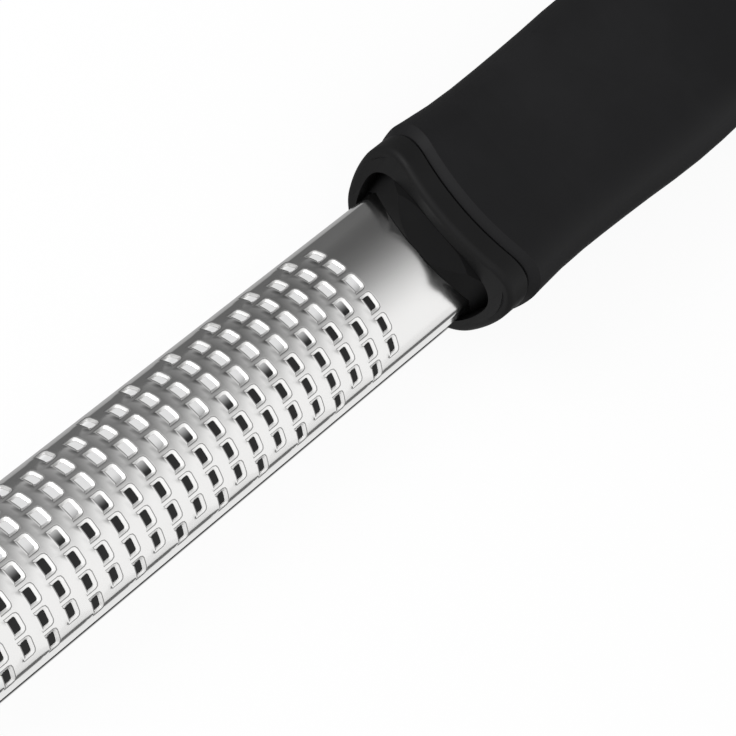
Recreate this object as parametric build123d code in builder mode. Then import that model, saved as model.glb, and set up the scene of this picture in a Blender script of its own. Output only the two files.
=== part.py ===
from build123d import *
from math import asin, cos, degrees, radians, sin, sqrt
import os

# Rasp zester, in millimetres. X runs from the tip to the handle's tail, Y across, Z up.
# Z = 0 is the worktop that the tip foot and the grip's belly stand on, and the origin is
# midway between the tip and the tail.

# Blade sheet: a crowned strip with a folded wall on each side
sheet = 0.4
crown_radius = 14.25
crown_half_angle = 52
wall_drop = 3.9
wall_spread = 1.25
wall_edge_height = 7.4

# Teeth: rows along the blade, every second row shifted by half a tooth
row_pitch = 4.4
row_pairs = 18
tooth_pitch = 4.0
main_row_teeth = 6
between_row_teeth = 7
tooth_width = 2.6
hole_length = 1.6
ramp_length = 1.9
tooth_lift = 0.5

# Plain stretches of the blade, measured from the nearest cutting edges
plain_at_handle = 16.9
plain_at_tip = 8.6

# Tang: the middle of the crown, running on into the handle
seat_depth = 11.0
tang_length = 62.0
tang_width = 11.6
tang_hole_diameter = 5.0
tang_hole_spacing = 22.0
tang_end_radius = 3.0

# Handle sections: ovals, with the shares of the half width that are flat at top and foot
top_flat_share = 0.6
foot_flat_share = 0.5
front_bow_radius = 48.0

# Collar: the hard ring at the front of the handle
collar_length = 4.1
collar_half_width = 17.0
collar_top = 23.5
collar_middle = 14.2
collar_foot = 0.8
collar_edge_radius = 1.1
groove_width = 0.8
groove_depth = 1.3

# Core: two halves clamped on the tang, with a sloping nose inside the collar
core_half_width = 14.0
core_top = 20.5
core_middle = 12.8
core_foot = 3.0
core_top_flat_share = 0.28
core_foot_flat_share = 0.55
core_seat_length = 14.0
nose_reach = 3.2
nose_bow_radius = 15.0
bar_width = 20.0
bar_top = 19.4
bar_foot = 8.0
bar_corner_radius = 2.0
bar_end_wall = 4.0
post_diameter = 4.8
post_height = 1.2
tenon_length = 4.0
tenon_width = 14.0
tenon_top = 16.0
tenon_foot = 9.0

# Grip: the soft sleeve, with the shares of its half width, top and foot at even stations
grip_length = 100.0
grip_half_width = 18.4
grip_top = 24.5
grip_middle_share = 0.62
grip_low_point = 0.12
grip_edge_chamfer = 1.3
width_shares = (0.980, 0.951, 0.928, 0.924, 0.932, 0.944, 0.959, 0.979, 0.990, 0.987, 0.974, 0.950,
                0.912, 0.872, 0.838, 0.806, 0.775)
top_shares = (0.985, 0.972, 0.963, 0.964, 0.971, 0.979, 0.987, 0.996, 1.000, 0.995, 0.983, 0.967,
              0.946, 0.922, 0.897, 0.871, 0.845)
foot_lift_shares = (0.012, 0.030, 0.044, 0.042, 0.031, 0.019, 0.011, 0.005, 0.000, 0.000, 0.000,
                    0.004, 0.016, 0.034, 0.060, 0.095, 0.130)

# End cap: the hard tail with the hanging hole
cap_length = 18.0
cap_half_width = 13.0
cap_tail_radius = 8.8
cap_top = 19.2
cap_foot = 6.4
cap_edge_radius = 5.0
hang_hole_diameter = 7.0
hang_hole_inset = 9.0
hang_hole_chamfer = 0.7

# Tip cap and foot: the moulded end over the blade's front edge, and its soft pad
tip_wall = 1.3
tip_cap_length = 9.5
tip_cover = 6.3
tip_cap_foot = 1.7
tip_skirt_inset = 0.7
tip_edge_chamfer = 1.0
foot_width = 19.0
foot_length = 6.5
foot_sunk = 1.2
foot_corner_radius = 2.5
foot_groove_width = 0.8
foot_groove_depth = 0.5
foot_groove_spacing = 3.0

# Clearances and the overrun of every cut
fit_gap = 0.1
overrun = 3.0

# Places along X, from the tip to the tail
row_count = 2 * row_pairs
tooth_field = (row_count - 1) * row_pitch
tip_ahead = tip_cap_length - tip_cover
overall_length = (tip_ahead + plain_at_tip + tooth_field + plain_at_handle + collar_length
                  + groove_width + grip_length + groove_width + cap_length)
tip_x = -overall_length / 2
blade_front_x = tip_x + tip_ahead
tip_cap_rear_x = tip_x + tip_cap_length
first_edge_x = blade_front_x + plain_at_tip
last_edge_x = first_edge_x + tooth_field
collar_x = last_edge_x + plain_at_handle
grip_x = collar_x + collar_length + groove_width
grip_end_x = grip_x + grip_length
station_pitch = grip_length / (len(width_shares) - 1)
cap_x = grip_end_x + groove_width
tail_x = cap_x + cap_length
seat_end_x = collar_x + seat_depth
tang_end_x = seat_end_x + tang_length
tang_hole_x = (seat_end_x + tang_hole_spacing, seat_end_x + 2 * tang_hole_spacing)
hang_hole_x = tail_x - hang_hole_inset
bar_end_x = grip_end_x - bar_end_wall
tip_middle_x = tip_x + tip_cap_length / 2

# Heights and angles of the blade's section
inner_radius = crown_radius - sheet
fold_y = inner_radius * sin(radians(crown_half_angle))
fold_z = inner_radius * cos(radians(crown_half_angle))
crown_axis_z = wall_edge_height + wall_drop - fold_z
crown_top = crown_axis_z + crown_radius
tooth_angle = degrees(tooth_pitch / crown_radius)
wall_foot_y = fold_y + wall_spread
wall_base_y = wall_foot_y + wall_edge_height * wall_spread / wall_drop
tang_edge_z = crown_axis_z + sqrt(inner_radius**2 - (tang_width / 2) ** 2)
tip_half_width = wall_foot_y + sheet + tip_wall
part_z = wall_edge_height - fit_gap


def blade_section():
    """Section of the sheet: the crown and its two folded walls."""
    with BuildSketch() as section:
        with BuildLine():
            crown = CenterArc((0, crown_axis_z), inner_radius, 90 - crown_half_angle,
                              2 * crown_half_angle)
            Line((wall_foot_y, wall_edge_height), crown @ 0)
            Line(crown @ 1, (-wall_foot_y, wall_edge_height))
            offset(amount=sheet, side=Side.RIGHT)
        make_face()
    return section.sketch


def under_sheet(outset):
    """Section of all that lies under the sheet, down to the worktop, drawn out by outset."""
    with BuildSketch() as section:
        with BuildLine():
            crown = CenterArc((0, crown_axis_z), inner_radius, 90 - crown_half_angle,
                              2 * crown_half_angle)
            Polyline(crown @ 1, (-wall_base_y, 0), (wall_base_y, 0), crown @ 0)
        make_face()
        offset(amount=outset, kind=Kind.INTERSECTION)
    return section.sketch


def quarter_oval(flat_end, widest):
    """Two tangent arcs from the end of a flat to the widest point."""
    flat_x, flat_y = flat_end
    wide_x, wide_y = widest
    across = abs(wide_x - flat_x)
    up = abs(wide_y - flat_y)
    reach = (sqrt((across + up) ** 2 + 2 * (across**2 + up**2)) - across - up) / 2
    outward = (wide_x - flat_x) / across
    onward = (wide_y - flat_y) / up
    joint = ((flat_x + wide_x + outward * reach) / 2, (flat_y + wide_y - onward * reach) / 2)
    TangentArc(flat_end, joint, tangent=(outward, 0))
    TangentArc(widest, joint, tangent=(0, -onward))


def oval_section(half_width, top, middle, foot, top_share, foot_share):
    """Section of the handle: flat top and foot joined by oval corners."""
    top_flat = half_width * top_share
    foot_flat = half_width * foot_share
    with BuildSketch() as section:
        with BuildLine():
            Line((-top_flat, top), (top_flat, top))
            Line((-foot_flat, foot), (foot_flat, foot))
            for side in (-1, 1):
                quarter_oval((side * top_flat, top), (side * half_width, middle))
                quarter_oval((side * foot_flat, foot), (side * half_width, middle))
        make_face()
    return section.sketch


def collar_section(inset):
    """Section of the collar, drawn in by inset all round."""
    return oval_section(collar_half_width - inset, collar_top - inset, collar_middle,
                        collar_foot + inset, top_flat_share, foot_flat_share)


def grip_section(width_share, top_share, foot_lift_share):
    """Section of the grip at one station."""
    top = grip_top * top_share
    foot = grip_low_point + grip_top * foot_lift_share
    middle = foot + (top - foot) * grip_middle_share
    return oval_section(grip_half_width * width_share, top, middle, foot, top_flat_share,
                        foot_flat_share)


def core_section(outset):
    """Section of the core's front, which fills the collar, drawn out by outset all round."""
    return oval_section(core_half_width + outset, core_top + outset, core_middle,
                        core_foot - outset, core_top_flat_share, core_foot_flat_share)


def bar_section(outset):
    """Section of the core's bar inside the grip, drawn out by outset all round."""
    with BuildSketch() as section:
        with Locations((0, (bar_top + bar_foot) / 2)):
            RectangleRounded(bar_width + 2 * outset, bar_top - bar_foot + 2 * outset,
                             bar_corner_radius)
    return section.sketch


def tenon_section(outset):
    """Section of the tenon that carries the end cap, drawn out by outset all round."""
    with BuildSketch() as section:
        with Locations((0, (tenon_top + tenon_foot) / 2)):
            Rectangle(tenon_width + 2 * outset, tenon_top - tenon_foot + 2 * outset)
    return section.sketch


def seat_fill(outset):
    """Section of all that lies under the blade where its walls run into the core."""
    with BuildSketch() as section:
        add(under_sheet(outset))
        with Locations((0, part_z)):
            Rectangle(2 * crown_radius + overrun, crown_radius, align=(Align.CENTER, Align.MAX))
    return section.sketch


def slot_section():
    """Section of the tip cap's slot for the sheet."""
    with BuildSketch() as section:
        add(under_sheet(sheet + fit_gap))
        add(seat_fill(-fit_gap), mode=Mode.SUBTRACT)
    return section.sketch


def tang_fill(outset, side_gap):
    """Section of all that lies under the tang inside the core's bar."""
    with BuildSketch() as section:
        with Locations((0, crown_axis_z)):
            Circle(inner_radius + outset)
            Rectangle(tang_width + 2 * side_gap, 2 * crown_radius, mode=Mode.INTERSECT)
        with Locations((0, tang_edge_z)):
            Rectangle(2 * crown_radius + overrun, crown_radius, align=(Align.CENTER, Align.MAX))
    return section.sketch


def bowed_space(front_x, bow_radius):
    """Space behind an upright bowed front whose middle is at front_x."""
    side_angle = degrees(asin((bow_radius - fit_gap) / bow_radius))
    with BuildPart() as space:
        with BuildSketch(Plane.XY.offset(-overrun)):
            with BuildLine():
                bow = CenterArc((front_x + bow_radius, 0), bow_radius, 180 - side_angle,
                                2 * side_angle)
                Polyline(bow @ 1, (tail_x + bow_radius, (bow @ 1).Y),
                         (tail_x + bow_radius, (bow @ 0).Y), bow @ 0)
            make_face()
        extrude(amount=grip_top + 2 * overrun)
    return space.part


def tooth_places():
    """Place on the crown's axis, and turn about it, of every tooth."""
    places = []
    for row in range(row_count):
        teeth = main_row_teeth if (row_count - row) % 2 else between_row_teeth
        edge_x = first_edge_x + row * row_pitch
        for tooth in range(teeth):
            turn = (tooth - (teeth - 1) / 2) * tooth_angle
            places.append(Location((edge_x, 0, crown_axis_z), (turn, 0, 0)))
    return places


def across_crown(profile):
    """Solid as wide as a tooth, from a profile of places along the blade and radii."""
    with BuildPart() as solid:
        with BuildSketch(Plane.XZ):
            with BuildLine():
                Polyline(*profile, close=True)
            make_face()
        extrude(amount=tooth_width / 2, both=True)
    return solid.part


# Tooth: a ramp that rises to the cutting edge, and the hole in front of it, which reaches back
# under the ramp
ramp = across_crown(((-ramp_length, crown_radius), (0, crown_radius + tooth_lift),
                     (0, crown_radius - sheet), (-ramp_length, crown_radius - sheet)))
hole = across_crown(((hole_length, crown_radius + tooth_lift + overrun),
                     (0, crown_radius + tooth_lift + overrun),
                     (0, crown_radius + tooth_lift),
                     (-ramp_length, inner_radius - sheet),
                     (hole_length, inner_radius - sheet)))

# Blade: the etched and formed sheet with its tang
with BuildPart() as blade:
    with BuildSketch(Plane.YZ.offset(blade_front_x)):
        add(blade_section())
    extrude(amount=tang_end_x - blade_front_x)
    with BuildSketch():
        with Locations((blade_front_x, 0)):
            Rectangle(seat_end_x - blade_front_x, 2 * crown_radius, align=(Align.MIN, Align.CENTER))
        with Locations((tang_end_x, 0)):
            RectangleRounded(2 * tang_length, tang_width, tang_end_radius,
                             align=(Align.MAX, Align.CENTER))
    extrude(amount=crown_top + overrun, mode=Mode.INTERSECT)
    with Locations([(hole_x, 0, crown_top) for hole_x in tang_hole_x]):
        Hole(tang_hole_diameter / 2)
    with Locations(tooth_places()):
        add(ramp)
    with Locations(tooth_places()):
        add(hole, mode=Mode.SUBTRACT)
blade.part.label = "blade"

# Collar: a ring with a bowed front, and a neck that leaves a groove in front of the grip
with BuildPart() as neck:
    with BuildSketch(Plane.YZ.offset(collar_x + collar_length / 2)):
        add(collar_section(groove_depth))
    extrude(amount=core_seat_length)
    add(bowed_space(grip_x, front_bow_radius), mode=Mode.SUBTRACT)
with BuildPart() as collar:
    with BuildSketch(Plane.YZ.offset(collar_x)):
        add(collar_section(0))
    extrude(amount=collar_length + core_seat_length)
    add(bowed_space(collar_x, front_bow_radius), mode=Mode.INTERSECT)
    add(bowed_space(collar_x + collar_length, front_bow_radius), mode=Mode.SUBTRACT)
    fillet(collar.faces().sort_by(Axis.X)[0].edges(), collar_edge_radius)
    add(neck.part)
    with BuildSketch(Plane.YZ.offset(collar_x)):
        add(core_section(fit_gap))
    extrude(amount=core_seat_length, mode=Mode.SUBTRACT)
collar.part.label = "collar"

# Core: one body with a nose sloped above and below the blade, then parted along the blade
with BuildPart() as core:
    with BuildSketch(Plane.YZ.offset(collar_x - nose_reach)):
        add(core_section(0))
    extrude(amount=nose_reach + core_seat_length)
    add(bowed_space(collar_x - nose_reach, nose_bow_radius), mode=Mode.INTERSECT)
    with BuildSketch(Plane.XZ):
        with BuildLine():
            Polyline((collar_x, core_top), (collar_x, core_top + overrun),
                     (collar_x - nose_reach, core_top + overrun),
                     (collar_x - nose_reach, crown_top), close=True)
        make_face()
        with BuildLine():
            Polyline((collar_x, core_foot), (collar_x, core_foot - overrun),
                     (collar_x - nose_reach, core_foot - overrun),
                     (collar_x - nose_reach, wall_edge_height), close=True)
        make_face()
    extrude(amount=core_half_width, both=True, mode=Mode.SUBTRACT)
    with BuildSketch(Plane.YZ.offset(collar_x + core_seat_length)):
        add(bar_section(0))
    extrude(amount=bar_end_x - collar_x - core_seat_length)
    with BuildSketch(Plane.YZ.offset(bar_end_x)):
        add(tenon_section(0))
    extrude(amount=cap_x + tenon_length - bar_end_x)

with BuildPart() as core_upper:
    add(core.part)
    with BuildSketch(Plane.YZ.offset(collar_x - nose_reach)):
        add(seat_fill(sheet + fit_gap))
    extrude(amount=nose_reach + seat_depth + fit_gap, mode=Mode.SUBTRACT)
    with BuildSketch(Plane.YZ.offset(seat_end_x + fit_gap)):
        add(tang_fill(sheet + fit_gap, fit_gap))
    extrude(amount=tail_x - seat_end_x, mode=Mode.SUBTRACT)
    with Locations([(hole_x, 0, crown_top - overrun) for hole_x in tang_hole_x]):
        Cylinder(post_diameter / 2 + fit_gap, overrun + post_height + fit_gap,
                 align=(Align.CENTER, Align.CENTER, Align.MIN), mode=Mode.SUBTRACT)
core_upper.part.label = "core_upper"

with BuildPart() as core_lower:
    with BuildSketch(Plane.YZ.offset(collar_x - nose_reach)):
        add(seat_fill(-fit_gap))
    extrude(amount=nose_reach + seat_depth + fit_gap)
    with BuildSketch(Plane.YZ.offset(seat_end_x + fit_gap)):
        add(tang_fill(-fit_gap, 0))
    extrude(amount=tail_x - seat_end_x)
    add(core.part, mode=Mode.INTERSECT)
    with Locations([(hole_x, 0, crown_top - overrun) for hole_x in tang_hole_x]):
        Cylinder(post_diameter / 2, overrun + post_height,
                 align=(Align.CENTER, Align.CENTER, Align.MIN))
core_lower.part.label = "core_lower"

# Grip: a soft sleeve swelling at the palm, with the core's pocket in it
with BuildPart() as grip:
    for station, shares in enumerate(zip(width_shares, top_shares, foot_lift_shares)):
        with BuildSketch(Plane.YZ.offset(grip_x + station * station_pitch)):
            add(grip_section(*shares))
    loft(ruled=True)
    add(bowed_space(grip_x, front_bow_radius), mode=Mode.INTERSECT)
    chamfer(grip.faces().sort_by(Axis.X)[0].edges(), grip_edge_chamfer)
    chamfer(grip.faces().sort_by(Axis.X)[-1].edges(), grip_edge_chamfer)
    with BuildSketch(Plane.YZ.offset(collar_x)):
        add(core_section(fit_gap))
    extrude(amount=core_seat_length + fit_gap, mode=Mode.SUBTRACT)
    with BuildSketch(Plane.YZ.offset(grip_x)):
        add(bar_section(fit_gap))
    extrude(amount=bar_end_x + fit_gap - grip_x, mode=Mode.SUBTRACT)
    with BuildSketch(Plane.YZ.offset(bar_end_x)):
        add(tenon_section(fit_gap))
    extrude(amount=tail_x - bar_end_x, mode=Mode.SUBTRACT)
grip.part.label = "grip"

# End cap: a tapered tail with rounded edges, its neck, the tenon's socket and the hanging hole
with BuildPart() as end_cap:
    with BuildSketch(Plane.XY.offset(cap_foot)):
        with BuildLine():
            Line((cap_x, -cap_half_width), (cap_x, cap_half_width))
        with Locations((tail_x - cap_tail_radius, 0)):
            Circle(cap_tail_radius)
        make_hull()
    extrude(amount=cap_top - cap_foot)
    fillet(end_cap.faces().filter_by(Axis.Z).edges().filter_by(Axis.Y, reverse=True),
           cap_edge_radius)
    with BuildSketch(Plane.YZ.offset(grip_end_x)):
        with Locations((0, (cap_top + cap_foot) / 2)):
            RectangleRounded(2 * (cap_half_width - groove_depth),
                             cap_top - cap_foot - 2 * groove_depth,
                             cap_edge_radius - groove_depth)
    extrude(amount=groove_width + tenon_length)
    with BuildSketch(Plane.YZ.offset(grip_end_x)):
        add(tenon_section(fit_gap))
    extrude(amount=groove_width + tenon_length + fit_gap, mode=Mode.SUBTRACT)
    with Locations((hang_hole_x, 0, cap_top)):
        Hole(hang_hole_diameter / 2)
    chamfer(end_cap.edges().filter_by(GeomType.CIRCLE).filter_by(
        lambda edge: abs(edge.radius - hang_hole_diameter / 2) < fit_gap), hang_hole_chamfer)
end_cap.part.label = "end_cap"

# Tip foot: the soft pad under the tip cap, with grooves across its tread
with BuildPart() as tip_foot:
    with BuildSketch():
        with Locations((tip_middle_x, 0)):
            RectangleRounded(foot_length, foot_width, foot_corner_radius)
    extrude(amount=tip_cap_foot + foot_sunk)
    with BuildSketch():
        with GridLocations(foot_groove_spacing, 0, 2, 1):
            with Locations((tip_middle_x, 0)):
                Rectangle(foot_groove_width, foot_width)
    extrude(amount=foot_groove_depth, mode=Mode.SUBTRACT)
tip_foot.part.label = "tip_foot"

# Tip cap: a block over the blade's front edge, with the blade's slot and the foot's recess
with BuildPart() as tip_cap:
    with BuildSketch(Plane.YZ.offset(tip_x)):
        with BuildLine():
            crown = CenterArc((0, crown_axis_z), crown_radius + tip_wall, 90 - crown_half_angle,
                              2 * crown_half_angle)
            Polyline(crown @ 1, (-tip_half_width, wall_edge_height),
                     (tip_skirt_inset - tip_half_width, tip_cap_foot),
                     (tip_half_width - tip_skirt_inset, tip_cap_foot),
                     (tip_half_width, wall_edge_height), crown @ 0)
        make_face()
    extrude(amount=tip_cap_length)
    chamfer(tip_cap.faces().sort_by(Axis.X)[0].edges(), tip_edge_chamfer)
    with BuildSketch(Plane.YZ.offset(blade_front_x - fit_gap)):
        add(slot_section())
    extrude(amount=tip_cap_length, mode=Mode.SUBTRACT)
    with BuildSketch(Plane.XY.offset(tip_cap_foot - overrun)):
        with Locations((tip_middle_x, 0)):
            RectangleRounded(foot_length + 2 * fit_gap, foot_width + 2 * fit_gap,
                             foot_corner_radius)
    extrude(amount=overrun + foot_sunk + fit_gap, mode=Mode.SUBTRACT)
tip_cap.part.label = "tip_cap"

os.makedirs("parts", exist_ok=True)
for piece in (blade, collar, core_upper, core_lower, grip, end_cap, tip_cap, tip_foot):
    export_step(piece.part, f"parts/{piece.part.label}.step")
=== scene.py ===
"""Rasp zester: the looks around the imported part.

The blade is modelled as the flat etched sheet, tooth by tooth, and then formed: every point
is wrapped round the crown and down the folded walls. The handle's pieces, the tip cap and its
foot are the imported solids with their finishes.
"""

from __future__ import annotations

import logging
import math
from dataclasses import dataclass, field
from enum import Enum
from typing import Iterable, Sequence

import bmesh
import bpy
from mathutils import Matrix, Vector


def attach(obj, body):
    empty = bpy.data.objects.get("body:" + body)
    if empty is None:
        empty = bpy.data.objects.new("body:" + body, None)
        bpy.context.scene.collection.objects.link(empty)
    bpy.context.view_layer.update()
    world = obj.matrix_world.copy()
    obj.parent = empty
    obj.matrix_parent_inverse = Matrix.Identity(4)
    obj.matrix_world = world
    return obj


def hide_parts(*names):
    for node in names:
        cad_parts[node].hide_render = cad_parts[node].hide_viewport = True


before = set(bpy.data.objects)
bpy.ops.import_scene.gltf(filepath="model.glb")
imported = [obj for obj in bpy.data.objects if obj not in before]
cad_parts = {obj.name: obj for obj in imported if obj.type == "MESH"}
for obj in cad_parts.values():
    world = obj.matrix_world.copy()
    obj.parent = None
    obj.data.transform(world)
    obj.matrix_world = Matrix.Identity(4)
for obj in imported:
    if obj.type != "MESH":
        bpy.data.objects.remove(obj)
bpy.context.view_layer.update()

MM = 0.001
BODY = "root"
MERGE_DISTANCE = 1e-4
ON_LINE = 0.01
WARM = (1.0, 0.997, 0.99)
WARMER = (1.0, 0.993, 0.982)
LOG = logging.getLogger("zester")


# Shader tools


class Socket:
    """A node's output, with the arithmetic that adds Math nodes to its tree."""

    def __init__(self, tree: "ShaderTree", output: bpy.types.NodeSocket) -> None:
        """Keeps the output and the tree that its sums go into."""
        self.tree = tree
        self.output = output

    def _math(self, operation: str, *values: "Socket | float") -> "Socket":
        """Adds one Math node.

        Args:
            operation: the Math node's operation.
            values: its inputs in order, as sockets or numbers.

        Returns:
            The result's socket.
        """
        settings = {"operation": operation}
        return self.tree.node("ShaderNodeMath", settings, dict(enumerate(values)))

    def __add__(self, other: "Socket | float") -> "Socket":
        """Sum."""
        return self._math("ADD", self, other)

    __radd__ = __add__

    def __mul__(self, other: "Socket | float") -> "Socket":
        """Product."""
        return self._math("MULTIPLY", self, other)

    __rmul__ = __mul__

    def at_least(self, other: "Socket | float") -> "Socket":
        """The larger of the two."""
        return self._math("MAXIMUM", self, other)


class ShaderTree:
    """A material's or the world's nodes, emptied and then filled by one method."""

    def __init__(self, owner: "bpy.types.Material | bpy.types.World") -> None:
        """Turns the owner's nodes on and clears them.

        Args:
            owner: the material or world.
        """
        owner.use_nodes = True
        self.nodes = owner.node_tree.nodes
        self.links = owner.node_tree.links
        self.nodes.clear()

    def node(self, kind: str, settings: dict | None = None, inputs: dict | None = None,
             output: "str | int" = 0) -> Socket:
        """Adds a node, sets it and feeds it.

        Args:
            kind: the node's type.
            settings: values of the node itself, set first.
            inputs: the values or sockets of its inputs, by name or place.
            output: the output that is wanted.

        Returns:
            The wanted output.
        """
        made = self.nodes.new(kind)
        for name, value in (settings or {}).items():
            setattr(made, name, value)
        for name, value in (inputs or {}).items():
            if isinstance(value, Socket):
                self.links.new(value.output, made.inputs[name])
            else:
                made.inputs[name].default_value = value
        return Socket(self, made.outputs[output]) if made.outputs else Socket(self, None)

    def coordinates(self, name: str = "Object") -> Socket:
        """The point's coordinates of that kind."""
        return self.node("ShaderNodeTexCoord", output=name)

    def split(self, vector: Socket) -> tuple[Socket, Socket, Socket]:
        """The three parts of a vector.

        Args:
            vector: the vector.

        Returns:
            Its parts along X, Y and Z.
        """
        first = self.node("ShaderNodeSeparateXYZ", inputs={0: vector})
        outputs = first.output.node.outputs
        return tuple(Socket(self, outputs[part]) for part in range(len(outputs)))

    def step(self, value: Socket, low: float, high: float, start: float = 0.0,
             end: float = 1.0) -> Socket:
        """A smooth change.

        Args:
            value: what it follows.
            low: the value up to which the result is start.
            high: the value from which it is end.
            start: the result's first level.
            end: its last level.

        Returns:
            The result's socket.
        """
        settings = {"interpolation_type": "SMOOTHSTEP"}
        inputs = {"Value": value, "From Min": low, "From Max": high, "To Min": start,
                  "To Max": end}
        return self.node("ShaderNodeMapRange", settings, inputs)

    def noise(self, vector: Socket, scale: float, detail: float = 2.0,
              roughness: float = 0.5) -> Socket:
        """Noise between 0 and 1.

        Args:
            vector: the place.
            scale: how fine the noise is.
            detail: its octaves.
            roughness: how strong the finer ones are.

        Returns:
            The noise's socket.
        """
        inputs = {"Vector": vector, "Scale": scale, "Detail": detail, "Roughness": roughness}
        return self.node("ShaderNodeTexNoise", inputs=inputs)

    def stretch(self, vector: Socket, scale: tuple[float, float, float]) -> Socket:
        """The vector scaled along each axis."""
        return self.node("ShaderNodeMapping", inputs={"Vector": vector, "Scale": scale})

    def mix_colours(self, factor: "Socket | float", first: "Socket | tuple",
                    second: "Socket | tuple") -> Socket:
        """Mixes two colours.

        Args:
            factor: 0 for the first colour and 1 for the second.
            first: the first colour.
            second: the second colour.

        Returns:
            The mixed colour.
        """
        settings = {"data_type": "RGBA"}
        inputs = {0: factor, 6: first, 7: second}
        return self.node("ShaderNodeMix", settings, inputs, output=2)

    def bump(self, height: Socket, distance: float) -> Socket:
        """A normal from a height as a share of a distance in metres."""
        inputs = {"Strength": 1.0, "Distance": distance, "Height": height}
        return self.node("ShaderNodeBump", inputs=inputs)


def grey(level: float, tint: tuple[float, float, float] = (1.0, 1.0, 1.0)) -> tuple[float, ...]:
    """A grey of that level, times a tint, with full alpha."""
    return (level * tint[0], level * tint[1], level * tint[2], 1.0)


# Finishes


@dataclass(frozen=True)
class Steel:
    """Stainless sheet: rolled bands, the brighter etched scoops round the holes, or a dark steel
    that paints the shade of the steps.

    Attributes:
        name: the material's name.
        level: base reflectance.
        roughness: mean roughness.
        roughness_play: how far the roughness varies.
        grain: height of the rolling grain in metres.
        grain_stretch: how fine the grain is along each axis.
        cloud_scale: how fine the cloudiness of the rolled sheet is.
        cloud_share: the cloudy places' level as a share of the level.
    """

    name: str
    level: float
    roughness: float
    roughness_play: float
    grain: float
    grain_stretch: tuple[float, float, float] = (900.0, 9000.0, 9000.0)
    cloud_scale: float = 160.0
    cloud_share: float = 0.96

    def make(self) -> bpy.types.Material:
        """Makes the material.

        Returns:
            The new material.
        """
        material = bpy.data.materials.new(self.name)
        tree = ShaderTree(material)
        point = tree.coordinates()
        lines = tree.noise(tree.stretch(point, self.grain_stretch), 1.0, 3.0, 0.6)
        cloud = tree.noise(point, self.cloud_scale, 4.0, 0.6)
        play = self.roughness_play
        roughness = (cloud * play + lines * play) + (self.roughness - play)
        colour = tree.mix_colours(cloud, grey(self.level * self.cloud_share, WARMER),
                                  grey(self.level, WARM))
        normal = tree.bump(lines, self.grain)
        surface = tree.node("ShaderNodeBsdfPrincipled", inputs={
            "Base Color": colour, "Metallic": 1.0, "Roughness": roughness, "Normal": normal})
        tree.node("ShaderNodeOutputMaterial", inputs={"Surface": surface})
        return material


@dataclass(frozen=True)
class BlackMoulding:
    """Matt black moulding: the hard shell parts or the soft overmoulded sleeve.

    Attributes:
        name: the material's name.
        colour: base colour.
        roughness: mean roughness.
        grain: height of the surface grain in metres.
        grain_scale: how fine the grain is.
        specular: reflection level at the surface.
        handling_scale: how fine the patches worn by hands are.
        worn_share: how much paler they are.
        handling_play: how far the roughness varies with them.
    """

    name: str
    colour: tuple[float, float, float, float]
    roughness: float
    grain: float
    grain_scale: float
    specular: float
    handling_scale: float = 55.0
    worn_share: float = 1.25
    handling_play: float = 0.12

    def make(self) -> bpy.types.Material:
        """Makes the material.

        Returns:
            The new material.
        """
        material = bpy.data.materials.new(self.name)
        tree = ShaderTree(material)
        point = tree.coordinates()
        grain = tree.noise(point, self.grain_scale, 3.0, 0.55)
        handling = tree.noise(point, self.handling_scale, 4.0, 0.6)
        worn = grey(self.worn_share, self.colour[:3])
        colour = tree.mix_colours(tree.step(handling, 0.35, 0.75), self.colour, worn)
        roughness = handling * self.handling_play + (self.roughness - self.handling_play / 2)
        surface = tree.node("ShaderNodeBsdfPrincipled", inputs={
            "Base Color": colour, "Roughness": roughness,
            "Specular IOR Level": self.specular,
            "Normal": tree.bump(grain, self.grain)})
        tree.node("ShaderNodeOutputMaterial", inputs={"Surface": surface})
        return material


class Finish(Enum):
    """The finishes of this zester."""

    ROLLED = Steel("rolled steel", 0.88, 0.15, 0.04, 0.0000006)
    ETCHED = Steel("etched steel", 0.95, 0.46, 0.05, 0.0000005)
    # Dark steel that paints the shade of the teeth's steps and lips.
    PAINTED_SHADE_STEP = Steel("painted shade step", 0.34, 0.40, 0.05, 0.0000005)
    SHELL = BlackMoulding("black shell", (0.0085, 0.0085, 0.0087, 1.0), 0.50, 0.000004,
                          2600.0, 0.10)
    CORE = BlackMoulding("black core", (0.0070, 0.0070, 0.0072, 1.0), 0.62, 0.000004,
                         2600.0, 0.04)
    SLEEVE = BlackMoulding("black sleeve", (0.0090, 0.0090, 0.0096, 1.0), 0.60, 0.000006,
                           3200.0, 0.13)
    PAD = BlackMoulding("foot pad", (0.012, 0.012, 0.012, 1.0), 0.62, 0.00001, 2400.0, 0.3)


# Blade


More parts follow.
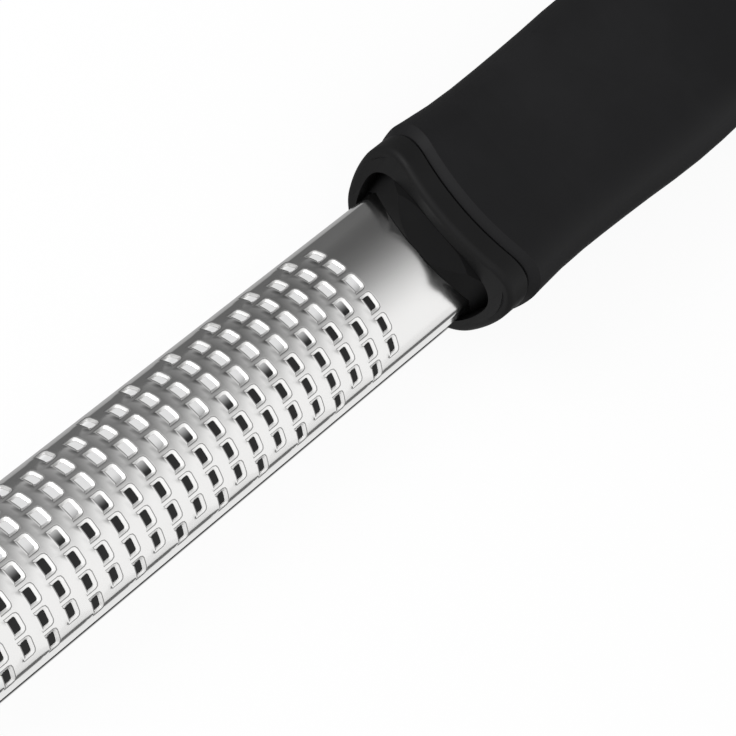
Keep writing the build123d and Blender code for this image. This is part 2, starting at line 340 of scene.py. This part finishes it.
@dataclass(frozen=True)
class Ring:
    """One loop of a tooth's tile, in millimetres on the flat sheet, centred on the tooth.

    Attributes:
        half_width: half of its width across the blade.
        rear: its place along the blade on the cutting edge's side.
        front: its place along the blade on the handle's side.
        corner: radius of the corners on the handle's side.
        inner_share: where the crest's outer points are, as a share of the half width.
        crest: height of the cutting edge's side.
        shoulder: height of that side's two corners.
        floor: height of the rest.
        square: True where the handle's side keeps sharp corners.
    """

    half_width: float
    rear: float
    front: float
    corner: float
    inner_share: float
    crest: float
    shoulder: float
    floor: float
    square: bool = False

    def points(self) -> list[Vector]:
        """The loop's sixteen points, from the cutting edge's first corner round.

        Returns:
            Points as (along, across, height).
        """
        wide = self.half_width
        inner = wide * self.inner_share
        turn = self.front - self.corner
        reach = turn - self.rear
        cut = 0.0 if self.square else self.corner * 0.29
        flank_low = self.rear + reach * 0.5
        flank_high = self.rear + reach * 0.8
        side = [(flank_low, wide), (flank_high, wide), (turn, wide),
                (self.front - cut, wide - cut), (self.front, wide - self.corner)]
        rear = [(self.rear, -wide, self.shoulder), (self.rear, -inner, self.crest),
                (self.rear, 0.0, self.crest), (self.rear, inner, self.crest),
                (self.rear, wide, self.shoulder)]
        right = [(along, across, self.floor) for along, across in side]
        left = [(along, -across, self.floor) for along, across in reversed(side)]
        middle = [(self.front, 0.0, self.floor)]
        return [Vector(point) for point in rear + right + middle + left]


@dataclass
class Blade:
    """The etched and formed sheet with its teeth, walls and tang, in millimetres.

    Attributes:
        sheet: thickness.
        crown_radius: outer radius of the crown.
        crown_axis_z: height of the crown's axis.
        fold_degrees: where the crown ends, as an angle from its top.
        wall_degrees: the walls' slope.
        fold_radius: outer radius of the folds.
        edge_across: half of the flat sheet's width.
        row_pitch: from one row's cutting edges to the next row's.
        row_count: number of rows.
        tooth_pitch: from one tooth to the next in its row.
        main_teeth: teeth in the rows next to the handle and every second one.
        between_teeth: teeth in the other rows.
        first_edge_x: place of the first row's cutting edges.
        tile_rear: where a tooth's tile starts, seen from its cutting edge.
        tile_front: where it ends.
        front_x: the sheet's front edge.
        mouth_x: where the sheet enters the collar.
        lip_end_x: where the collar's lip ends.
        seat_end_x: where the walls end.
        tang_end_x: the tang's end.
        tang_half_width: half of the tang's width.
        smooth_degrees: the angle past which an edge is sharp.
        fold_cuts: the cuts that round each fold, as shares of its turn.
        scoop_finishes: each band's finish on the handle's side of the cutting edge; 2 is painted
            shade on the scoop's outer step.
        lip_finishes: each band's finish on the other side; 2 is painted shade along the lip just
            behind the cutting edge.
        rings: the loops of a tooth's tile, from the hole outwards.
    """

    sheet: float = 0.4
    crown_radius: float = 14.25
    crown_axis_z: float = 2.773
    fold_degrees: float = 51.6
    wall_degrees: float = 80.0
    fold_radius: float = 3.0
    edge_across: float = 17.18
    row_pitch: float = 4.4
    row_count: int = 36
    tooth_pitch: float = 4.0
    main_teeth: int = 6
    between_teeth: int = 7
    first_edge_x: float = -141.4
    tile_rear: float = -1.9
    tile_front: float = 2.5
    front_x: float = -150.0
    mouth_x: float = 22.0
    lip_end_x: float = 29.0
    seat_end_x: float = 40.5
    tang_end_x: float = 102.5
    tang_half_width: float = 6.0
    smooth_degrees: float = 33.0
    fold_cuts: tuple[float, ...] = (0.0, 0.5, 1.0)
    # Finish 2 is painted shade: on the scoop's outer step and on the thin band behind the cutting
    # edge.
    scoop_finishes: tuple[int, ...] = (1, 1, 1, 2, 0, 0)
    lip_finishes: tuple[int, ...] = (0, 2, 0, 0, 0, 0)
    rings: list[Ring] = field(default_factory=lambda: [
        Ring(1.18, -0.10, 1.58, 0.32, 0.88, -0.18, -0.36, -0.40),
        Ring(1.20, 0.00, 1.60, 0.34, 0.90, 0.15, 0.00, -0.24),
        Ring(1.40, -0.15, 1.86, 0.50, 0.84, 0.145, -0.03, -0.10),
        Ring(1.60, -0.24, 2.07, 0.64, 0.80, 0.13, -0.01, -0.06),
        Ring(1.74, -0.32, 2.21, 0.70, 0.78, 0.12, 0.00, 0.00),
        Ring(1.86, -1.05, 2.32, 0.80, 0.72, 0.05, 0.00, 0.00),
        Ring(2.00, -1.90, 2.50, 1.00, 0.50, 0.00, 0.00, 0.00, True),
    ])

    def build(self) -> bpy.types.Object:
        """Builds the whole blade.

        Returns:
            The blade's object.
        """
        sheet = bmesh.new()
        tile = self._tile()
        for row in range(self.row_count):
            self._lay_row(sheet, tile, row)
        bmesh.ops.remove_doubles(sheet, verts=sheet.verts, dist=MERGE_DISTANCE)
        self._widen(sheet)
        self._lengthen(sheet)
        self._close(sheet)
        self._cut_fold_lines(sheet)
        self._form(sheet)
        bmesh.ops.recalc_face_normals(sheet, faces=sheet.faces)
        mesh = bpy.data.meshes.new("blade_sheet")
        sheet.to_mesh(mesh)
        sheet.free()
        tile.free()
        mesh.shade_smooth()
        mesh.set_sharp_from_angle(angle=math.radians(self.smooth_degrees))
        made = bpy.data.objects.new("blade_sheet", mesh)
        bpy.context.collection.objects.link(made)
        return made

    def dress(self, made: bpy.types.Object) -> None:
        """Gives the blade its finishes and its place in the frame.

        Args:
            made: the blade's object.
        """
        # The third finish is the painted shade of the steps.
        for finish in (Finish.ROLLED, Finish.ETCHED, Finish.PAINTED_SHADE_STEP):
            made.data.materials.append(finish.value.make())
        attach(made, BODY)
        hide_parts("blade")

    def _tile(self) -> bmesh.types.BMesh:
        """Makes one tooth on its piece of flat sheet, upper and lower side.

        Returns:
            The tile, with the cutting edge on the line along = 0.
        """
        tile = bmesh.new()
        inmost = self.rings[0].points()
        start = bmesh.ops.create_circle(tile, cap_ends=False, segments=len(inmost), radius=1.0)
        loop = start["verts"]
        for vert, point in zip(loop, inmost):
            vert.co = point
        lower_loop = list(loop)
        for place, ring in enumerate(self.rings[1:]):
            loop = self._next_loop(tile, loop, ring.points(), self.scoop_finishes[place],
                                   self.lip_finishes[place])
        border = [Vector((point.x, point.y, -self.sheet)) for point in self.rings[-1].points()]
        self._next_loop(tile, lower_loop, border, 0, 0)
        return tile

    @staticmethod
    def _next_loop(tile: bmesh.types.BMesh, loop: list[bmesh.types.BMVert],
                   points: Sequence[Vector], scoop_finish: int,
                   lip_finish: int) -> list[bmesh.types.BMVert]:
        """Extrudes a loop to its next place.

        Args:
            tile: the tile's mesh.
            loop: the loop's points in order.
            points: where the new ones lie.
            scoop_finish: the new faces' finish on the handle's side of the cutting edge.
            lip_finish: their finish on its other side.

        Returns:
            The new loop's points in the same order.
        """
        edges = [tile.edges.get((first, second))
                 for first, second in zip(loop, loop[1:] + loop[:1])]
        made = bmesh.ops.extrude_edge_only(tile, edges=edges)["geom"]
        fresh = [item for item in made if isinstance(item, bmesh.types.BMVert)]
        ordered = [min(fresh, key=lambda vert, old=old: (vert.co - old.co).length)
                   for old in loop]
        for vert, point in zip(ordered, points):
            vert.co = point
        for face in (item for item in made if isinstance(item, bmesh.types.BMFace)):
            behind = face.calc_center_median().x < 0.0
            face.material_index = lip_finish if behind else scoop_finish
        return ordered

    def _lay_row(self, sheet: bmesh.types.BMesh, tile: bmesh.types.BMesh, row: int) -> None:
        """Copies the tile along one row.

        Args:
            sheet: the flat sheet.
            tile: one tooth.
            row: the row's number from the tip.
        """
        teeth = self.main_teeth if (self.row_count - row) % 2 else self.between_teeth
        stored = bpy.data.meshes.new("tile")
        tile.to_mesh(stored)
        for tooth in range(teeth):
            known = len(sheet.verts)
            sheet.from_mesh(stored)
            sheet.verts.ensure_lookup_table()
            shift = Vector((self.first_edge_x + row * self.row_pitch,
                            (tooth - (teeth - 1) / 2) * self.tooth_pitch, 0.0))
            bmesh.ops.translate(sheet, verts=sheet.verts[known:], vec=shift)
        bpy.data.meshes.remove(stored)

    def _widen(self, sheet: bmesh.types.BMesh) -> None:
        """Extrudes the rows' side edges out to the edges of the walls.

        Args:
            sheet: the flat sheet.
        """
        narrow = self.main_teeth * self.tooth_pitch / 2
        wide = self.between_teeth * self.tooth_pitch / 2
        stops = (narrow, (narrow + wide) / 2, wide, self.edge_across)
        for start, end in zip(stops, stops[1:]):
            for side in (-1.0, 1.0):
                edges = [edge for edge in sheet.edges if edge.is_boundary and all(
                    abs(vert.co.y - side * start) < ON_LINE for vert in edge.verts)
                    and abs(edge.verts[0].co.x - edge.verts[1].co.x) > ON_LINE]
                self._pull(sheet, edges, Vector((0.0, side * (end - start), 0.0)))
        bmesh.ops.remove_doubles(sheet, verts=sheet.verts, dist=MERGE_DISTANCE)

    def _lengthen(self, sheet: bmesh.types.BMesh) -> None:
        """Extrudes the sheet's ends to the tip, into the seat and along the tang.

        Args:
            sheet: the flat sheet.
        """
        tip_side = self.first_edge_x + self.tile_rear
        handle_side = (self.first_edge_x + (self.row_count - 1) * self.row_pitch
                       + self.tile_front)
        tip_stops = (tip_side, (tip_side + self.front_x) / 2, self.front_x)
        seat_stops = (handle_side, self.mouth_x, self.lip_end_x, self.seat_end_x)
        wide = [(start, end, self.edge_across) for stops in (tip_stops, seat_stops)
                for start, end in zip(stops, stops[1:])]
        for start, end, width in wide + [
                (self.seat_end_x, self.tang_end_x, self.tang_half_width)]:
            edges = [edge for edge in sheet.edges if edge.is_boundary and all(
                abs(vert.co.x - start) < ON_LINE and abs(vert.co.y) < width + ON_LINE
                for vert in edge.verts)]
            self._pull(sheet, edges, Vector((end - start, 0.0, 0.0)))

    @staticmethod
    def _pull(sheet: bmesh.types.BMesh, edges: list[bmesh.types.BMEdge],
              shift: Vector) -> None:
        """Extrudes edges.

        Args:
            sheet: the mesh.
            edges: the edges.
            shift: how far they move.
        """
        made = bmesh.ops.extrude_edge_only(sheet, edges=edges)["geom"]
        verts = [item for item in made if isinstance(item, bmesh.types.BMVert)]
        bmesh.ops.translate(sheet, verts=verts, vec=shift)

    def _close(self, sheet: bmesh.types.BMesh) -> None:
        """Joins the upper side's outline to the lower side's.

        Args:
            sheet: the flat sheet.
        """
        rim = [edge for edge in sheet.edges if edge.is_boundary
               and all(vert.co.z > -self.sheet / 2 for vert in edge.verts)]
        self._pull(sheet, rim, Vector((0.0, 0.0, -self.sheet)))
        bmesh.ops.remove_doubles(sheet, verts=sheet.verts, dist=MERGE_DISTANCE)

    def _cut_fold_lines(self, sheet: bmesh.types.BMesh) -> None:
        """Cuts the flat sheet along the lines where it is folded.

        Args:
            sheet: the flat sheet.
        """
        start = self.crown_radius * math.radians(self.fold_degrees)
        turn = self.fold_radius * math.radians(self.wall_degrees - self.fold_degrees)
        for share in self.fold_cuts:
            for side in (-1.0, 1.0):
                geometry = sheet.verts[:] + sheet.edges[:] + sheet.faces[:]
                bmesh.ops.bisect_plane(sheet, geom=geometry, dist=MERGE_DISTANCE,
                                       plane_co=(0.0, side * (start + share * turn), 0.0),
                                       plane_no=(0.0, 1.0, 0.0))

    def _form(self, sheet: bmesh.types.BMesh) -> None:
        """Wraps the flat sheet round the crown and down the walls, in metres."""
        for vert in sheet.verts:
            vert.co = self._formed(vert.co) * MM

    def _formed(self, flat: Vector) -> Vector:
        """Where a point of the flat sheet lies on the formed one.

        Args:
            flat: the point as (along, across, height over the outer face).

        Returns:
            The point in the row frame, in millimetres.
        """
        side = math.copysign(1.0, flat.y)
        across = abs(flat.y)
        radius = self.crown_radius
        fold = math.radians(self.fold_degrees)
        wall = math.radians(self.wall_degrees)
        angle = min(across / radius, fold)
        out, up = radius * math.sin(angle), radius * math.cos(angle)
        left = across - radius * fold
        if left > 0.0:
            turned = min(left / self.fold_radius, wall - fold)
            angle = fold + turned
            out += self.fold_radius * (math.sin(angle) - math.sin(fold))
            up += self.fold_radius * (math.cos(angle) - math.cos(fold))
            straight = max(0.0, left - self.fold_radius * (wall - fold))
            out += straight * math.cos(wall)
            up -= straight * math.sin(wall)
        out += flat.z * math.sin(angle)
        up += flat.z * math.cos(angle)
        return Vector((flat.x, side * out, self.crown_axis_z + up))


# Handle, tip cap and foot


@dataclass
class PackedPieces:
    """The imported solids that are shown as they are.

    Attributes:
        finishes: each node's finish.
    """

    finishes: dict[str, Finish] = field(default_factory=lambda: {
        "collar": Finish.SHELL, "core_upper": Finish.CORE, "core_lower": Finish.CORE,
        "grip": Finish.SLEEVE, "end_cap": Finish.SHELL, "tip_cap": Finish.SHELL,
        "tip_foot": Finish.PAD})

    def dress(self) -> None:
        """Gives every solid its finish."""
        for name, finish in self.finishes.items():
            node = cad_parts[name]
            node.data.materials.clear()
            node.data.materials.append(finish.value.make())
            LOG.info("%s: %s", name, finish.value.name)


# Studio


@dataclass(frozen=True)
class FloorLook:
    """What the floor shows to camera rays and to glossy rays: white, a painted shadow under the
    blade and painted dark reflections for the steel.

    The places are in metres, as (from, to) of a smooth change, and the levels go from 0 to 1.

    Attributes:
        painted_shadow_right: across the blade, where the painted shadow under it fades in.
        painted_shadow_left: across the blade, where the painted shadow fades out.
        painted_shadow_tip: along the blade, where the painted shadow fades in.
        painted_shadow_handle: along the blade, where the painted shadow fades out.
        painted_shadow_turn: across the blade, where the painted shadow goes from its dark to its
            pale side.
        painted_shadow_levels: the painted shadow's levels on those two sides.
        painted_reflection_near_left: across the blade, where glossy rays start to see a half dark
            floor, a painted reflection.
        painted_reflection_near_share: how dark that painted reflection is.
        painted_reflection_far_left: across the blade, where the painted reflection turns fully
            dark.
        painted_reflection_fold_far: across the blade, where the painted dark reflection strip on
            the other side fades in.
        painted_reflection_fold_near: across the blade, where that painted strip fades out.
        painted_reflection_levels: the pale level and the painted reflection's dark level that
            glossy rays see.
        floor_and_painted_shadow_levels: the floor's base colour, away from the painted shadow and
            on it, where it is darker as painted shade.
        glow: how much of the floor's look is its own light for those rays.
    """

    painted_shadow_right: tuple[float, float] = (-0.0125, -0.0122)
    painted_shadow_left: tuple[float, float] = (0.0114, 0.0123)
    painted_shadow_tip: tuple[float, float] = (-0.150, -0.145)
    painted_shadow_handle: tuple[float, float] = (0.030, 0.040)
    painted_shadow_turn: tuple[float, float] = (0.0002, 0.0034)
    painted_shadow_levels: tuple[float, float] = (0.02, 0.78)
    painted_reflection_near_left: tuple[float, float] = (0.006, 0.016)
    painted_reflection_near_share: float = 0.66
    painted_reflection_far_left: tuple[float, float] = (0.018, 0.032)
    painted_reflection_fold_far: tuple[float, float] = (-0.070, -0.055)
    painted_reflection_fold_near: tuple[float, float] = (-0.026, -0.022)
    painted_reflection_levels: tuple[float, float] = (0.90, 0.08)
    floor_and_painted_shadow_levels: tuple[float, float] = (0.82, 0.25)
    glow: float = 0.93


@dataclass
class Studio:
    """Floor, world, lamp and camera.

    Attributes:
        floor_size: half of the floor's side in metres.
        floor_look: what the floor shows, with its painted shadow and painted reflections.
        dark_way: the direction of the world's dark side.
        dark_reach: where the dark starts and where it is full, as cosines from that direction.
        dark_level: the world's level there, where it is 1 elsewhere.
        key_direction: where the lamp stands, seen from the origin.
        key_distance: how far away, in metres.
        key_size: its side in metres.
        key_power: its power in watts.
        camera_place: the camera's place in millimetres in the row frame.
        camera_axes: its right, down and forward axes.
        camera_reach: its nearest and farthest distance in metres.
        focal_pixels: focal length in pixels of the photograph's frame.
        frame_pixels: the frame's side in pixels.
        sensor: the sensor's side in millimetres.
    """

    floor_size: float = 3.0
    floor_look: FloorLook = FloorLook()
    dark_way: tuple[float, float, float] = (0.865, 0.458, 0.20)
    dark_reach: tuple[float, float] = (0.22, 1.04)
    dark_level: float = 0.03
    key_direction: tuple[float, float, float] = (-0.45, 0.62, 0.62)
    key_distance: float = 0.9
    key_size: float = 0.5
    key_power: float = 5.0
    camera_place: tuple[float, float, float] = (-215.9, -21.2, 365.4)
    camera_axes: tuple[tuple[float, float, float], ...] = (
        (0.6502, -0.6515, 0.391), (-0.5388, -0.7582, -0.3673), (0.5357, 0.0282, -0.8439))
    camera_reach: tuple[float, float] = (0.01, 20.0)
    focal_pixels: float = 2700.0
    frame_pixels: float = 736.0
    sensor: float = 36.0

    def build(self) -> None:
        """Builds all of it."""
        self._floor()
        self._world()
        self._lamp()
        self._camera()
        bpy.context.scene.view_settings.view_transform = "Standard"

    def _floor(self) -> None:
        """Adds the pale floor, which a camera sees white away from the object, with a painted
        shadow under the blade.
        """
        flat = bmesh.new()
        bmesh.ops.create_grid(flat, x_segments=1, y_segments=1, size=self.floor_size)
        mesh = bpy.data.meshes.new("floor")
        flat.to_mesh(mesh)
        flat.free()
        floor = bpy.data.objects.new("floor", mesh)
        bpy.context.collection.objects.link(floor)
        material = bpy.data.materials.new("floor")
        self._paint_floor(ShaderTree(material))
        mesh.materials.append(material)

    def _paint_floor(self, tree: ShaderTree) -> None:
        """Fills the floor's material, with its painted shadow and painted reflections.

        Args:
            tree: the material's nodes.
        """
        look = self.floor_look
        along, across, _ = tree.split(tree.coordinates())
        # Painted shadow under the blade: a patch, dark on its right side and pale on its left, that
        # camera rays see.
        painted_shadow_mask = tree.step(across, *look.painted_shadow_right) * tree.step(across, *look.painted_shadow_left, 1.0, 0.0)
        painted_shadow_mask = painted_shadow_mask * tree.step(along, *look.painted_shadow_tip)
        painted_shadow_mask = painted_shadow_mask * tree.step(along, *look.painted_shadow_handle, 1.0, 0.0)
        shade = tree.step(across, *look.painted_shadow_turn, *look.painted_shadow_levels)
        # Painted reflections: glossy rays see the floor dark beyond the blade's left side and in a
        # strip beyond its right, so the steel shows dark there.
        near = tree.step(across, *look.painted_reflection_near_left, 0.0, look.painted_reflection_near_share)
        far = tree.step(across, *look.painted_reflection_far_left)
        strip = tree.step(across, *look.painted_reflection_fold_far) * tree.step(across, *look.painted_reflection_fold_near, 1.0, 0.0)
        dark = far.at_least(near).at_least(strip)
        camera_ray = tree.node("ShaderNodeLightPath", output="Is Camera Ray")
        glossy_ray = tree.node("ShaderNodeLightPath", output="Is Glossy Ray")
        # What glossy rays see: a pale backdrop with the painted dark reflections.
        painted_reflection_colour = tree.mix_colours(dark, *map(grey, look.painted_reflection_levels))
        # The floor's base colour is darker on that patch, as painted shade.
        ground = tree.mix_colours(painted_shadow_mask, *map(grey, look.floor_and_painted_shadow_levels))
        matt = tree.node("ShaderNodeBsdfPrincipled",
                         inputs={"Base Color": ground, "Roughness": 0.9})
        patch = tree.node("ShaderNodeCombineXYZ", inputs={0: shade, 1: shade, 2: shade})
        seen = tree.mix_colours(painted_shadow_mask, grey(1.0), patch)
        seen = tree.mix_colours(glossy_ray, seen, painted_reflection_colour)
        light = tree.node("ShaderNodeEmission", inputs={"Color": seen, "Strength": 1.0})
        factor = (camera_ray + glossy_ray) * look.glow
        mixed = tree.node("ShaderNodeMixShader", inputs={0: factor, 1: matt, 2: light})
        tree.node("ShaderNodeOutputMaterial", inputs={"Surface": mixed})

    def _world(self) -> None:
        """Lights the scene from all round, with a dark side beyond the handle's left."""
        world = bpy.data.worlds.new("studio")
        bpy.context.scene.world = world
        tree = ShaderTree(world)
        direction = tree.coordinates("Generated")
        dark_way = Vector(self.dark_way).normalized()
        toward = tree.node("ShaderNodeVectorMath", {"operation": "DOT_PRODUCT"},
                           {0: direction, 1: tuple(dark_way)}, output="Value")
        shade = tree.step(toward, *self.dark_reach)
        camera_ray = tree.node("ShaderNodeLightPath", output="Is Camera Ray")
        colour = tree.mix_colours(shade, grey(1.0), grey(self.dark_level))
        seen = tree.mix_colours(camera_ray, colour, grey(1.0))
        light = tree.node("ShaderNodeBackground", inputs={"Color": seen, "Strength": 1.0})
        tree.node("ShaderNodeOutputWorld", inputs={"Surface": light})

    def _lamp(self) -> None:
        """Adds a soft square lamp that faces the origin."""
        light = bpy.data.lights.new("key", "AREA")
        light.shape = "SQUARE"
        light.size = self.key_size
        light.energy = self.key_power
        lamp = bpy.data.objects.new("key", light)
        direction = Vector(self.key_direction)
        lamp.location = direction.normalized() * self.key_distance
        lamp.rotation_mode = "QUATERNION"
        lamp.rotation_quaternion = direction.to_track_quat("Z", "Y")
        bpy.context.collection.objects.link(lamp)

    def _camera(self) -> None:
        """Adds the camera at the photograph's viewing angle."""
        data = bpy.data.cameras.new("camera")
        data.sensor_width = self.sensor
        data.lens = self.focal_pixels / self.frame_pixels * self.sensor
        data.clip_start, data.clip_end = self.camera_reach
        camera = bpy.data.objects.new("camera", data)
        right, down, forward = (Vector(axis) for axis in self.camera_axes)
        turn = Matrix((right, -down, -forward)).transposed()
        camera.rotation_mode = "QUATERNION"
        camera.rotation_quaternion = turn.to_quaternion()
        camera.location = Vector(self.camera_place) * MM
        bpy.context.collection.objects.link(camera)
        bpy.context.scene.camera = camera


def main() -> None:
    """Builds and dresses the zester, then its studio."""
    logging.basicConfig(level=logging.INFO, format="%(name)s: %(message)s")
    blade = Blade()
    sheet = blade.build()
    blade.dress(sheet)
    LOG.info("blade_sheet: %d faces", len(sheet.data.polygons))
    PackedPieces().dress()
    Studio().build()


if __name__ == "__main__":
    main()
